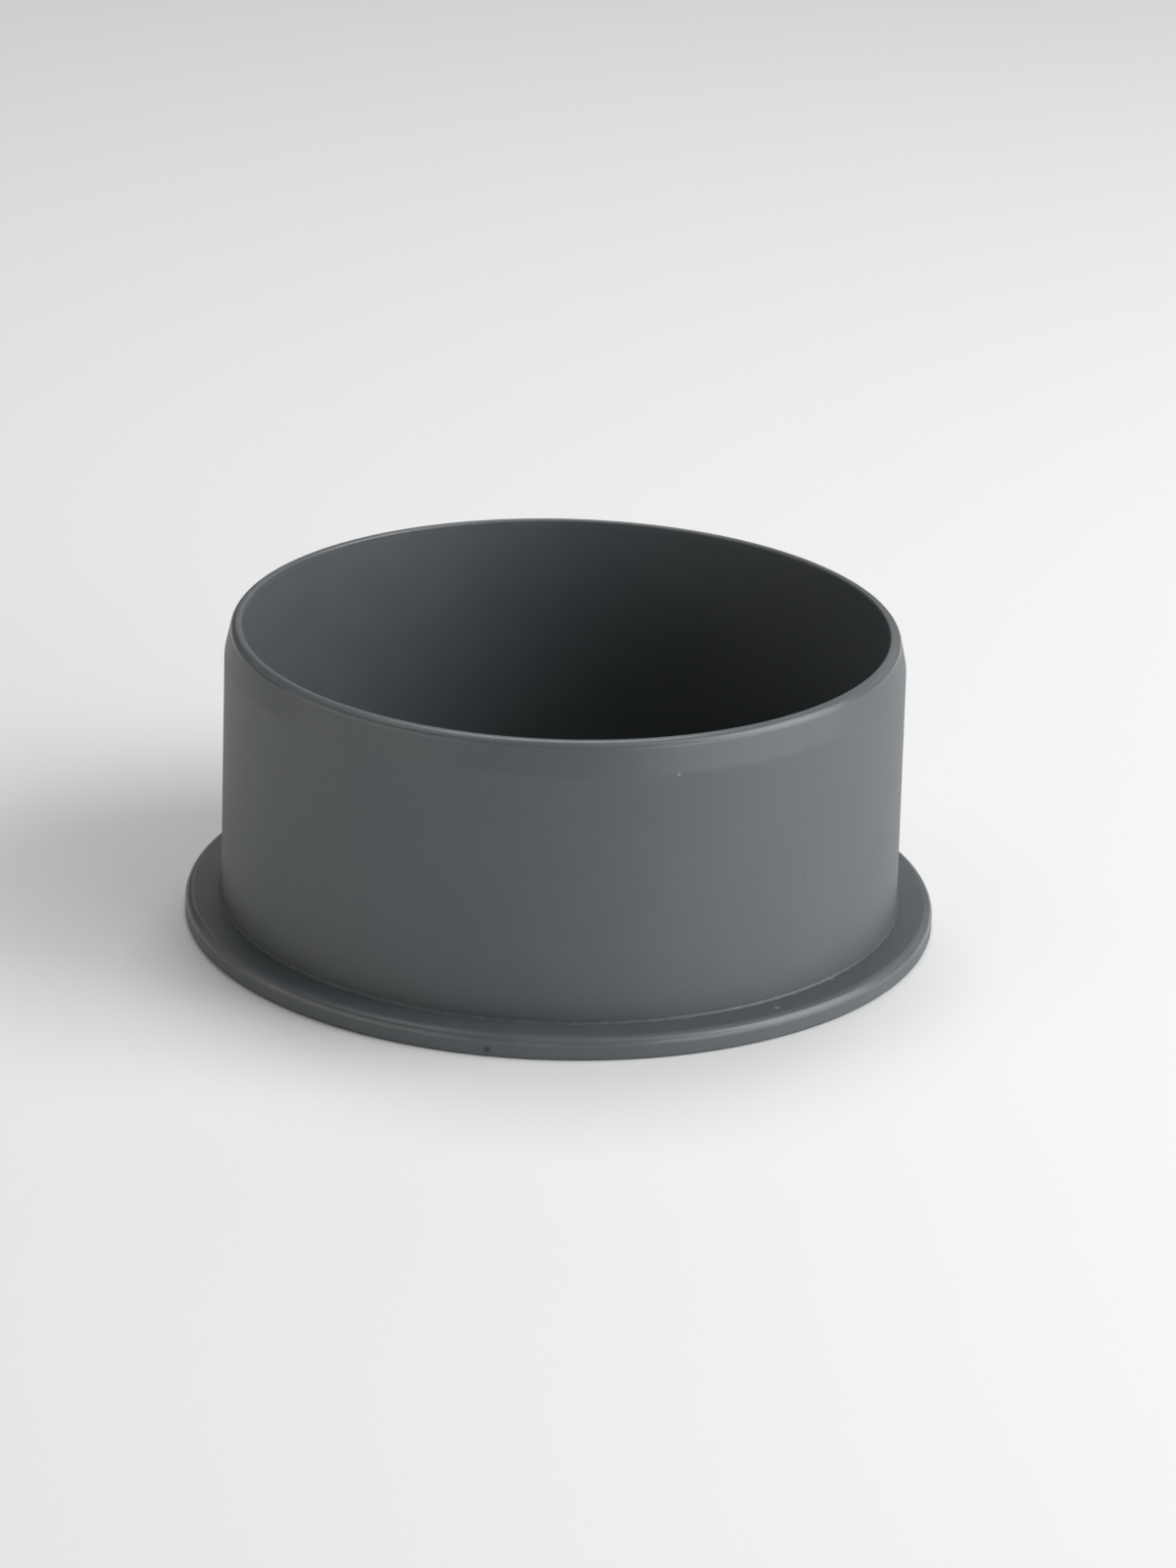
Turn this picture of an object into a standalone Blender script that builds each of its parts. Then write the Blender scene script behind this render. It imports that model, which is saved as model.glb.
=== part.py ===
"""Drain pipe end plug: one moulded polypropylene cup that closes the socket of a 110 mm drain pipe.

The plug stands on its closed end with its mouth up, as it does on a bench. Its axis is +Z, and the
origin is the centre of the underside. Everything is in metres. Run it with
blender --background --python part.py, or from Blender's text editor.
"""

import math

import bpy
from mathutils import Matrix, Vector

# Spigot, the short tube that slides into the pipe's socket
SPIGOT_DIAMETER = 0.1100  # outside, just below the lead-in
SPIGOT_DRAFT = 0.00036  # how much further out the outside stands at the foot, to leave its mould
WALL = 0.00285  # at the mouth
CORE_DRAFT = 0.00030  # how much further in the inside stands at the floor
HEIGHT = 0.0498  # underside to mouth

# Lead-in, the cone round the mouth that eases the spigot past the socket's rubber ring
LEAD_IN_HEIGHT = 0.00535
LEAD_IN_DEPTH = 0.00115  # how far it draws the mouth's outer edge in

# Flange, the collar that stops against the socket's mouth
FLANGE_DIAMETER = 0.1224
FLANGE_THICKNESS = 0.0037

# Floor, the disc that closes the pipe
FLOOR_THICKNESS = 0.0030

# Edge rounds and fillets
MOUTH_INNER_ROUND = 0.0004
MOUTH_OUTER_ROUND = 0.00145
LEAD_IN_BLEND = 0.0040  # where the cone runs into the straight wall
FOOT_FILLET = 0.0005  # where the wall meets the flange
FLANGE_TOP_ROUND = 0.0015
FLANGE_BOTTOM_ROUND = 0.0006
FLOOR_FILLET = 0.0020  # inside, where the wall meets the floor

# Fineness of the turned surface
TURN_STEPS = 96
WIDEST_ARC_STEP = math.radians(24)
ROUNDS_SHARE = 0.95  # the most of a side that the rounds at its two ends take up together
WELD_DISTANCE = 0.00001

PLUG_COLOUR = (0.092, 0.102, 0.107, 1.0)
PLUG_ROUGHNESS = 0.50


def clear_scene():
    for old in list(bpy.data.objects):
        bpy.data.objects.remove(old, do_unlink=True)


def reach_of_round(before, corner, after, radius):
    """How far from a corner an arc of this radius touches the sides of the corner."""
    half_angle = (before - corner).angle(after - corner) / 2
    return radius / math.tan(half_angle)


def shared_reaches(places, reaches):
    """The reaches of all corners, made shorter where two of them don't fit on the side they share."""
    fitted = list(reaches)
    for index in range(len(places) - 1):
        room = ROUNDS_SHARE * (places[index + 1] - places[index]).length
        wanted = fitted[index] + fitted[index + 1]
        if wanted > room:
            fitted[index] *= room / wanted
            fitted[index + 1] *= room / wanted
    return fitted


def rounded_corner(before, corner, after, reach):
    """The points of the arc that touches both sides of a corner at this reach from it, in order."""
    to_before = (before - corner).normalized()
    to_after = (after - corner).normalized()
    half_angle = to_before.angle(to_after) / 2
    centre = corner + (to_before + to_after).normalized() * (reach / math.cos(half_angle))
    first = corner + to_before * reach - centre
    last = corner + to_after * reach - centre
    anticlockwise_turn = last.angle_signed(first)
    steps = math.ceil(abs(anticlockwise_turn) / WIDEST_ARC_STEP)
    return [
        centre + Matrix.Rotation(anticlockwise_turn * step / steps, 2) @ first
        for step in range(steps + 1)
    ]


def plug_outline():
    """Half of the plug's section as (radius, height): from the axis over the floor, up the inside of
    the wall, over the mouth, down the outside and back to the axis along the underside."""
    spigot = SPIGOT_DIAMETER / 2
    mouth_inner = spigot - WALL
    flange = FLANGE_DIAMETER / 2
    floor_centre = Vector((0.0, FLOOR_THICKNESS))
    underside_centre = Vector((0.0, 0.0))
    corners = [
        (mouth_inner - CORE_DRAFT, FLOOR_THICKNESS, FLOOR_FILLET),
        (mouth_inner, HEIGHT, MOUTH_INNER_ROUND),
        (spigot - LEAD_IN_DEPTH, HEIGHT, MOUTH_OUTER_ROUND),
        (spigot, HEIGHT - LEAD_IN_HEIGHT, LEAD_IN_BLEND),
        (spigot + SPIGOT_DRAFT, FLANGE_THICKNESS, FOOT_FILLET),
        (flange, FLANGE_THICKNESS, FLANGE_TOP_ROUND),
        (flange, 0.0, FLANGE_BOTTOM_ROUND),
    ]
    places = [floor_centre] + [Vector(corner[:2]) for corner in corners] + [underside_centre]
    reaches = [
        reach_of_round(places[index], places[index + 1], places[index + 2], radius)
        for index, (_, _, radius) in enumerate(corners)
    ]
    fitted = shared_reaches(places, [0.0] + reaches + [0.0])
    outline = [floor_centre]
    for index in range(1, len(places) - 1):
        outline += rounded_corner(places[index - 1], places[index], places[index + 1], fitted[index])
    outline.append(underside_centre)
    return outline


def turned_object(name, outline, collection):
    """A solid of revolution about Z, made by a Screw modifier on its half section."""
    mesh = bpy.data.meshes.new(name)
    points = [(point.x, 0.0, point.y) for point in outline]
    edges = [(index, index + 1) for index in range(len(points) - 1)]
    mesh.from_pydata(points, edges, [])
    turned = bpy.data.objects.new(name, mesh)
    collection.objects.link(turned)
    screw = turned.modifiers.new("Turn", "SCREW")
    screw.axis = "Z"
    screw.angle = math.tau
    screw.steps = TURN_STEPS
    screw.render_steps = TURN_STEPS
    screw.use_merge_vertices = True
    screw.merge_threshold = WELD_DISTANCE
    screw.use_smooth_shade = True
    return turned


def plug_material():
    """Grey polypropylene with the fine matt grain of its mould."""
    material = bpy.data.materials.new("grey_polypropylene")
    material.use_nodes = True
    surface = material.node_tree.nodes["Principled BSDF"]
    surface.inputs["Base Color"].default_value = PLUG_COLOUR
    surface.inputs["Roughness"].default_value = PLUG_ROUGHNESS
    surface.inputs["Metallic"].default_value = 0.0
    return material


def main():
    clear_scene()
    collection = bpy.data.collections.new("drain_pipe_end_plug")
    bpy.context.scene.collection.children.link(collection)
    plug = turned_object("end_plug", plug_outline(), collection)
    plug.data.materials.append(plug_material())


main()
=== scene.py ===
"""Drain pipe end plug, dressed for its picture: grey satin polypropylene on a pale studio floor.

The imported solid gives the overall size. The plug is turned again here with fine arcs, so that its
edges shade as they do in the photograph. Everything is in metres, with +Z up the plug's axis.
"""

import math

import bpy
from mathutils import Matrix, Vector


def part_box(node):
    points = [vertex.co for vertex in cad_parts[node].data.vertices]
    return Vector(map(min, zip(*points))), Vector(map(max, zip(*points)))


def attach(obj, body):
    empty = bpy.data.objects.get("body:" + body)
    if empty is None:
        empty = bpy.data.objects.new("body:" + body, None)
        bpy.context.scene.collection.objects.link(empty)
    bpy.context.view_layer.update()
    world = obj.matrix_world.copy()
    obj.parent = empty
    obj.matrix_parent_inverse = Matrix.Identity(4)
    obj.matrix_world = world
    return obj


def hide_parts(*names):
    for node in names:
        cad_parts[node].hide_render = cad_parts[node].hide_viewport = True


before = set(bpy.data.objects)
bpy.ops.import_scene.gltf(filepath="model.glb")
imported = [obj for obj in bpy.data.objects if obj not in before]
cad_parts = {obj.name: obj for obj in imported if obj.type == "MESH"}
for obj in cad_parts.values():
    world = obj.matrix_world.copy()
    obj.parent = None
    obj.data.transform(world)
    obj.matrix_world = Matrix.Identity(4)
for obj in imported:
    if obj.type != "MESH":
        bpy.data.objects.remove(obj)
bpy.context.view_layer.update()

# The plug's section. Its height and its widest radius come from the frame.
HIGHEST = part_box("end_plug")[1]
FLANGE_RADIUS = HIGHEST.x
HEIGHT = HIGHEST.z
SPIGOT_RADIUS = 0.0550
SPIGOT_DRAFT = 0.00036
WALL = 0.00285
CORE_DRAFT = 0.00030
LEAD_IN_HEIGHT = 0.00535
LEAD_IN_DEPTH = 0.00115
FLANGE_THICKNESS = 0.0037
FLOOR_THICKNESS = 0.0030
MOUTH_INNER_ROUND = 0.0004
MOUTH_OUTER_ROUND = 0.00145
LEAD_IN_BLEND = 0.0040
FOOT_FILLET = 0.0005
FLANGE_TOP_ROUND = 0.0015
FLANGE_BOTTOM_ROUND = 0.0006
FLOOR_FILLET = 0.0020
TURN_STEPS = 384
WIDEST_ARC_STEP = math.radians(7.5)
LARGE_FACE_WEIGHT = 100

# The camera, as the photograph's own perspective gives it
CAMERA_PLACE = (0.0, -0.8589, 0.3567)
CAMERA_YAW = math.radians(-0.282)
CAMERA_TILT = math.radians(68.72)
CAMERA_ROLL = math.radians(1.687)
CAMERA_LENS = 129.9
CAMERA_SENSOR = 36.0

# The studio: a pale round floor, which ends before the lights, and a pale surround
FLOOR_RADIUS = 1.0
FLOOR_CORNERS = 192
FLOOR_COLOUR = (0.90, 0.90, 0.90, 1.0)
FLOOR_ROUGHNESS = 0.6
WORLD_COLOUR = (0.84, 0.84, 0.84, 1.0)

# The lights: soft boxes at one distance, all facing the plug. The bright side is the right, as in
# the photograph, with a weaker fill from the left.
BOX_DISTANCE = 1.1
PLAIN_LIGHT = (1.0, 1.0, 1.0)
COOL_LIGHT = (0.98, 1.0, 1.0)
WARM_LIGHT = (1.0, 0.975, 0.94)
SOFT_BOXES = (
    # Name, azimuth from the front to the right and elevation in degrees, width, length, watts
    ("low_right", 65.0, 15.0, 1.60, 0.50, 8.4, COOL_LIGHT),
    ("side_right", 86.0, 40.0, 0.80, 0.55, 6.5, PLAIN_LIGHT),
    ("high_right", 58.0, 57.0, 0.55, 0.85, 2.0, PLAIN_LIGHT),
    ("high_back", 180.0, 65.0, 0.55, 0.55, 3.9, PLAIN_LIGHT),
    ("low_back", 165.0, 25.0, 1.60, 0.40, 1.0, PLAIN_LIGHT),
    ("low_left", -66.0, 12.0, 1.40, 0.50, 2.6, WARM_LIGHT),
    ("low_front", -18.0, 5.0, 0.90, 0.25, 0.45, PLAIN_LIGHT),
    ("back_left", -118.0, 26.0, 0.80, 0.50, 0.4, PLAIN_LIGHT),
    ("high_left", -90.0, 65.0, 0.55, 0.55, 1.05, PLAIN_LIGHT),
)

# The plastic. Lengths inside the material are in millimetres.
MILLIMETRES = 1000.0
DARK_GREY = (0.0885, 0.0990, 0.1060, 1.0)
LIGHT_GREY = (0.0945, 0.1050, 0.1120, 1.0)
# The lighter grey of the edges is a painted highlight along the rounded edges
EDGE_HIGHLIGHT_GREY = (0.150, 0.158, 0.162, 1.0)
DUST_COLOUR = (0.40, 0.42, 0.43, 1.0)
# The darkest colour serves both the painted shade in the foot crease and the dirt specks
SHADE_AND_DIRT_COLOUR = (0.018, 0.018, 0.018, 1.0)

# How far the zones of the surface reach, and half the width of their soft borders
BORDER = 0.15
OUTSIDE_ZONE = 1.95
MOUTH_ZONE = 1.15
FLANGE_ZONE = 1.35
FOOT_ZONE = 0.60
FOOT_BORDER = 0.35

# Noise patterns: their cells in a millimetre, how many finer layers each one has, how strong
# those layers are, and how much the draw lines are drawn out
CLOUD_SCALE = 0.11
MOTTLE_SCALE = 0.9
GRAIN_SCALE = 3.2
LINE_SCALE = 1.4
WAVE_SCALE = 0.16
RAGGED_SCALE = 4.0
RICH_DETAIL = 3.0
GRAIN_DETAIL = 2.0
PLAIN_DETAIL = 1.0
EVEN_ROUGHNESS = 0.5
COARSE_ROUGHNESS = 0.6
LINE_SQUEEZE = (1.0, 1.0, 0.035)
RAGGED_REACH = 0.12

# The levels of the noise, which keeps near a half, between which a tone or a patch comes in
TONE_START, TONE_END = 0.35, 0.65
PATCH_START, PATCH_END = 0.40, 0.70
CLOUD_TONE_SHARE = 0.6
MOTTLE_TONE_SHARE = 0.4

# Painted highlight on the edges, painted shade in the foot crease, dust and dirt: the share of the
# other colour that each one mixes in
EDGE_HIGHLIGHT_SHARE = 0.22
EDGE_HIGHLIGHT_PATCH_SHARE = 0.20
CREASE_SHADE_SHARE = 0.30
DUST_SHARE = 0.35
DIRT_SHARE = 0.75

# Roughness before the patterns add to it, and what each of them adds at most
WALL_ROUGHNESS = 0.44
LEAD_IN_ROUGHNESS = 0.43
EDGE_ROUGHNESS = 0.28
CLOUD_ROUGHNESS = 0.06
MOTTLE_ROUGHNESS = 0.03
LINE_ROUGHNESS = 0.03

# Relief: heights at most, and the share of the grain that the smooth zones lack
GRAIN_HEIGHT = 0.0040
LINE_HEIGHT = 0.0030
WAVE_HEIGHT = 0.030
DUST_HEIGHT = 0.05
SMOOTHED_SHARE = 0.8

# Dust and dirt where the photograph shows it: azimuth from the front to the right in degrees,
# distance from the axis, height, width
DUST_SPECKS = (
    (18.9, 55.0, 44.4, 0.70),
    (36.5, 58.05, 3.7, 1.20),
    (-15.3, 58.7, 3.7, 0.60),
    (51.3, 55.9, 3.8, 0.80),
)
DIRT_SPECKS = (
    (-9.8, 61.2, 1.25, 1.20),
    (43.9, 55.2, 23.15, 0.50),
)
SPECK_CORE = 0.3
SPECK_REACH = 0.6


def rounded_corner(before, corner, after, radius):
    """The points of an arc of this radius that touches both sides of a corner, in order."""
    to_before = (before - corner).normalized()
    to_after = (after - corner).normalized()
    half_angle = to_before.angle(to_after) / 2
    reach = radius / math.tan(half_angle)
    centre = corner + (to_before + to_after).normalized() * (reach / math.cos(half_angle))
    first = corner + to_before * reach - centre
    last = corner + to_after * reach - centre
    anticlockwise_turn = last.angle_signed(first)
    steps = math.ceil(abs(anticlockwise_turn) / WIDEST_ARC_STEP)
    return [
        centre + Matrix.Rotation(anticlockwise_turn * step / steps, 2) @ first
        for step in range(steps + 1)
    ]


def plug_outline():
    """Half of the plug's section as (radius, height): from the axis over the floor, up the inside
    of the wall, over the mouth, down the outside and back to the axis along the underside."""
    mouth_inner = SPIGOT_RADIUS - WALL
    floor_centre = Vector((0.0, FLOOR_THICKNESS))
    underside_centre = Vector((0.0, 0.0))
    corners = [
        (mouth_inner - CORE_DRAFT, FLOOR_THICKNESS, FLOOR_FILLET),
        (mouth_inner, HEIGHT, MOUTH_INNER_ROUND),
        (SPIGOT_RADIUS - LEAD_IN_DEPTH, HEIGHT, MOUTH_OUTER_ROUND),
        (SPIGOT_RADIUS, HEIGHT - LEAD_IN_HEIGHT, LEAD_IN_BLEND),
        (SPIGOT_RADIUS + SPIGOT_DRAFT, FLANGE_THICKNESS, FOOT_FILLET),
        (FLANGE_RADIUS, FLANGE_THICKNESS, FLANGE_TOP_ROUND),
        (FLANGE_RADIUS, 0.0, FLANGE_BOTTOM_ROUND),
    ]
    places = [floor_centre] + [Vector(corner[:2]) for corner in corners] + [underside_centre]
    outline = [floor_centre]
    for index, (_, _, radius) in enumerate(corners):
        outline += rounded_corner(places[index], places[index + 1], places[index + 2], radius)
    outline.append(underside_centre)
    return outline


def turned_mesh(name, outline, steps):
    """A closed solid of revolution about Z from an outline that starts and ends on the axis."""
    rings = outline[1:-1]
    vertices = [(0.0, 0.0, outline[0].y), (0.0, 0.0, outline[-1].y)]
    for step in range(steps):
        angle = math.tau * step / steps
        for point in rings:
            vertices.append((point.x * math.cos(angle), point.x * math.sin(angle), point.y))
    faces = []
    count = len(rings)
    for step in range(steps):
        here = 2 + step * count
        there = 2 + (step + 1) % steps * count
        faces.append((0, here, there))
        for row in range(count - 1):
            faces.append((here + row, here + row + 1, there + row + 1, there + row))
        faces.append((1, there + count - 1, here + count - 1))
    mesh = bpy.data.meshes.new(name)
    mesh.from_pydata(vertices, [], faces)
    mesh.shade_smooth()
    return mesh


def make_plug():
    mesh = turned_mesh("plug_body", plug_outline(), TURN_STEPS)
    plug = bpy.data.objects.new("plug_body", mesh)
    bpy.context.scene.collection.objects.link(plug)
    normals = plug.modifiers.new("Normals", "WEIGHTED_NORMAL")
    normals.weight = LARGE_FACE_WEIGHT
    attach(plug, "root")
    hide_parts("end_plug")
    return plug


class NodeSheet:
    """Adds nodes to one material. An input is a plain value, or the output of another node."""

    def __init__(self, material):
        self.tree = material.node_tree

    def join(self, value, socket):
        if isinstance(value, bpy.types.NodeSocket):
            self.tree.links.new(value, socket)
        else:
            socket.default_value = value

    def maths(self, operation, *values):
        node = self.tree.nodes.new("ShaderNodeMath")
        node.operation = operation
        for index, value in enumerate(values):
            self.join(value, node.inputs[index])
        return node.outputs["Value"]

    def product(self, *values):
        result = values[0]
        for value in values[1:]:
            result = self.maths("MULTIPLY", result, value)
        return result

    def total(self, *values):
        result = values[0]
        for value in values[1:]:
            result = self.maths("ADD", result, value)
        return result

    def vector(self, operation, first, second=None):
        node = self.tree.nodes.new("ShaderNodeVectorMath")
        node.operation = operation
        self.join(first, node.inputs[0])
        if operation == "SCALE":
            self.join(second, node.inputs["Scale"])
        elif second is not None:
            self.join(second, node.inputs[1])
        return node.outputs["Value" if operation in ("LENGTH", "DISTANCE") else "Vector"]

    def ramp(self, value, low, high, at_low=0.0, at_high=1.0):
        """A soft step: at_low where the value is low or less, at_high where it is high or more."""
        node = self.tree.nodes.new("ShaderNodeMapRange")
        node.interpolation_type = "SMOOTHSTEP"
        for name, amount in (
            ("Value", value),
            ("From Min", low),
            ("From Max", high),
            ("To Min", at_low),
            ("To Max", at_high),
        ):
            self.join(amount, node.inputs[name])
        return node.outputs["Result"]

    def above(self, value, level, border):
        """1 above the level and 0 below it, with a soft border."""
        return self.ramp(value, level - border, level + border)

    def below(self, value, level, border):
        """1 below the level and 0 above it, with a soft border."""
        return self.ramp(value, level - border, level + border, 1.0, 0.0)

    def specks(self, place, specks, raggedness):
        """1 on each speck, falling to 0 at its ragged edge."""
        result = 0.0
        for azimuth, radius, height, width in specks:
            turn = math.radians(azimuth)
            centre = (radius * math.sin(turn), -radius * math.cos(turn), height)
            distance = self.total(self.vector("DISTANCE", place, centre), raggedness)
            speck = self.ramp(distance, width * SPECK_CORE, width * SPECK_REACH, 1.0, 0.0)
            result = self.maths("MAXIMUM", result, speck)
        return result

    def noise(self, place, per_millimetre, detail, roughness=EVEN_ROUGHNESS):
        node = self.tree.nodes.new("ShaderNodeTexNoise")
        self.join(place, node.inputs["Vector"])
        node.inputs["Scale"].default_value = per_millimetre
        node.inputs["Detail"].default_value = detail
        node.inputs["Roughness"].default_value = roughness
        return node.outputs["Fac"]

    def blend(self, share, first, second):
        node = self.tree.nodes.new("ShaderNodeMix")
        node.data_type = "RGBA"
        self.join(share, node.inputs["Factor"])
        colours = [socket for socket in node.inputs if socket.type == "RGBA"]
        self.join(first, colours[0])
        self.join(second, colours[1])
        return next(socket for socket in node.outputs if socket.type == "RGBA")


def plug_material():
    """Grey polypropylene as it leaves its mould: finely grained walls with faint draw lines, a
    smoother lead-in and mouth, a painted highlight on the edges, painted shade in the foot crease,
    and dust and dirt specks."""
    material = bpy.data.materials.new("grey_polypropylene")
    material.use_nodes = True
    sheet = NodeSheet(material)
    surface = material.node_tree.nodes["Principled BSDF"]

    # Where a point is, in millimetres: its place, its distance from the axis and its height
    coordinates = material.node_tree.nodes.new("ShaderNodeTexCoord").outputs["Object"]
    place = sheet.vector("SCALE", coordinates, MILLIMETRES)
    flat_place = sheet.vector("MULTIPLY", place, (1.0, 1.0, 0.0))
    radius = sheet.vector("LENGTH", flat_place)
    split = material.node_tree.nodes.new("ShaderNodeSeparateXYZ")
    sheet.join(place, split.inputs["Vector"])
    height = split.outputs["Z"]

    # Zones of the surface
    mouth = MILLIMETRES * HEIGHT
    lead_in_foot = MILLIMETRES * (HEIGHT - LEAD_IN_HEIGHT)
    spigot = MILLIMETRES * SPIGOT_RADIUS
    flange = MILLIMETRES * FLANGE_RADIUS
    shoulder = MILLIMETRES * FLANGE_THICKNESS
    outside = sheet.above(radius, spigot - OUTSIDE_ZONE, BORDER)
    lead_in = sheet.product(outside, sheet.above(height, lead_in_foot, BORDER))
    mouth_round = sheet.above(height, mouth - MOUTH_ZONE, BORDER)
    flange_round = sheet.product(
        sheet.above(radius, flange - FLANGE_ZONE, BORDER),
        sheet.above(height, shoulder - FLANGE_ZONE, BORDER),
    )
    edges = sheet.maths("MAXIMUM", mouth_round, flange_round)
    smooth = sheet.maths("MAXIMUM", lead_in, edges)
    spigot_wall = sheet.product(
        outside,
        sheet.above(height, shoulder + FOOT_ZONE, FOOT_BORDER),
        sheet.below(height, lead_in_foot, BORDER),
    )
    # Where the painted shade in the crease at the foot of the spigot goes
    crease = sheet.product(
        outside,
        sheet.below(radius, spigot + FOOT_ZONE + FOOT_BORDER, FOOT_BORDER),
        sheet.below(height, shoulder + FOOT_ZONE, FOOT_BORDER),
    )

    # Patterns
    clouds = sheet.noise(place, CLOUD_SCALE, RICH_DETAIL)
    mottle = sheet.noise(place, MOTTLE_SCALE, RICH_DETAIL)
    grain = sheet.noise(place, GRAIN_SCALE, GRAIN_DETAIL, COARSE_ROUGHNESS)
    drawn_place = sheet.vector("MULTIPLY", place, LINE_SQUEEZE)
    draw_lines = sheet.noise(drawn_place, LINE_SCALE, RICH_DETAIL, COARSE_ROUGHNESS)
    waves = sheet.noise(place, WAVE_SCALE, PLAIN_DETAIL)
    ragged = sheet.product(sheet.noise(place, RAGGED_SCALE, PLAIN_DETAIL), RAGGED_REACH)
    dust = sheet.specks(place, DUST_SPECKS, ragged)
    dirt = sheet.specks(place, DIRT_SPECKS, ragged)

    # Colour
    tone = sheet.total(
        sheet.product(clouds, CLOUD_TONE_SHARE),
        sheet.product(mottle, MOTTLE_TONE_SHARE),
    )
    colour = sheet.blend(sheet.ramp(tone, TONE_START, TONE_END), DARK_GREY, LIGHT_GREY)
    # Painted highlight: the rounded edges of the mouth and the flange are painted lighter, broken
    # up in patches
    edge_highlight_patches = sheet.product(sheet.ramp(clouds, PATCH_START, PATCH_END), EDGE_HIGHLIGHT_PATCH_SHARE)
    painted_edge_highlight = sheet.product(edges, sheet.total(edge_highlight_patches, EDGE_HIGHLIGHT_SHARE))
    colour = sheet.blend(painted_edge_highlight, colour, EDGE_HIGHLIGHT_GREY)
    # Painted shade: the crease at the foot of the spigot is painted darker
    painted_crease_shade = sheet.product(crease, sheet.ramp(mottle, TONE_START, TONE_END), CREASE_SHADE_SHARE)
    colour = sheet.blend(painted_crease_shade, colour, SHADE_AND_DIRT_COLOUR)
    colour = sheet.blend(sheet.product(dirt, DIRT_SHARE), colour, SHADE_AND_DIRT_COLOUR)
    colour = sheet.blend(sheet.product(dust, DUST_SHARE), colour, DUST_COLOUR)
    sheet.join(colour, surface.inputs["Base Color"])

    # Gloss
    wall_roughness = sheet.total(
        WALL_ROUGHNESS,
        sheet.product(clouds, CLOUD_ROUGHNESS),
        sheet.product(mottle, MOTTLE_ROUGHNESS),
        sheet.product(draw_lines, spigot_wall, LINE_ROUGHNESS),
    )
    smooth_roughness = sheet.total(
        LEAD_IN_ROUGHNESS,
        sheet.product(edges, EDGE_ROUGHNESS - LEAD_IN_ROUGHNESS),
        sheet.product(mottle, MOTTLE_ROUGHNESS),
    )
    roughness = sheet.total(
        sheet.product(wall_roughness, sheet.maths("SUBTRACT", 1.0, smooth)),
        sheet.product(smooth_roughness, smooth),
    )
    sheet.join(roughness, surface.inputs["Roughness"])

    # Relief, in millimetres
    grain_share = sheet.maths("SUBTRACT", 1.0, sheet.product(smooth, SMOOTHED_SHARE))
    relief = sheet.total(
        sheet.product(grain, grain_share, GRAIN_HEIGHT),
        sheet.product(draw_lines, spigot_wall, LINE_HEIGHT),
        sheet.product(waves, WAVE_HEIGHT),
        sheet.product(dust, DUST_HEIGHT),
    )
    bump = material.node_tree.nodes.new("ShaderNodeBump")
    bump.inputs["Strength"].default_value = 1.0
    bump.inputs["Distance"].default_value = 1.0 / MILLIMETRES
    sheet.join(relief, bump.inputs["Height"])
    sheet.join(bump.outputs["Normal"], surface.inputs["Normal"])
    return material


def make_floor():
    bpy.ops.mesh.primitive_circle_add(
        vertices=FLOOR_CORNERS, radius=FLOOR_RADIUS, fill_type="NGON", location=(0.0, 0.0, 0.0)
    )
    floor = bpy.context.active_object
    floor.name = "studio_floor"
    material = bpy.data.materials.new("pale_floor")
    material.use_nodes = True
    surface = material.node_tree.nodes["Principled BSDF"]
    surface.inputs["Base Color"].default_value = FLOOR_COLOUR
    surface.inputs["Roughness"].default_value = FLOOR_ROUGHNESS
    floor.data.materials.append(material)


def make_camera():
    data = bpy.data.cameras.new("camera")
    data.lens = CAMERA_LENS
    data.sensor_width = CAMERA_SENSOR
    camera = bpy.data.objects.new("camera", data)
    camera.matrix_world = (
        Matrix.Translation(CAMERA_PLACE)
        @ Matrix.Rotation(CAMERA_YAW, 4, "Z")
        @ Matrix.Rotation(CAMERA_TILT, 4, "X")
        @ Matrix.Rotation(CAMERA_ROLL, 4, "Z")
    )
    bpy.context.scene.collection.objects.link(camera)
    bpy.context.scene.camera = camera


def soft_box(name, azimuth, elevation, width, length, power, colour):
    data = bpy.data.lights.new(name, "AREA")
    data.shape = "RECTANGLE"
    data.size = width
    data.size_y = length
    data.energy = power
    data.color = colour
    light = bpy.data.objects.new(name, data)
    turn = math.radians(azimuth)
    rise = math.radians(elevation)
    out = Vector((
        math.sin(turn) * math.cos(rise),
        -math.cos(turn) * math.cos(rise),
        math.sin(rise),
    ))
    light.location = out * BOX_DISTANCE
    light.rotation_mode = "QUATERNION"
    light.rotation_quaternion = out.to_track_quat("Z", "Y")
    light.visible_camera = False
    bpy.context.scene.collection.objects.link(light)


def make_world():
    """A pale surround for low views. Only the camera sees it: the soft boxes give all the light."""
    world = bpy.data.worlds.new("studio")
    world.use_nodes = True
    world.node_tree.nodes["Background"].inputs["Color"].default_value = WORLD_COLOUR
    bpy.context.scene.world = world
    world.cycles_visibility.diffuse = False
    world.cycles_visibility.glossy = False


make_camera()
plug = make_plug()
plug.data.materials.append(plug_material())
make_floor()
make_world()
for soft_box_values in SOFT_BOXES:
    soft_box(*soft_box_values)

bpy.context.scene.view_settings.view_transform = "Standard"
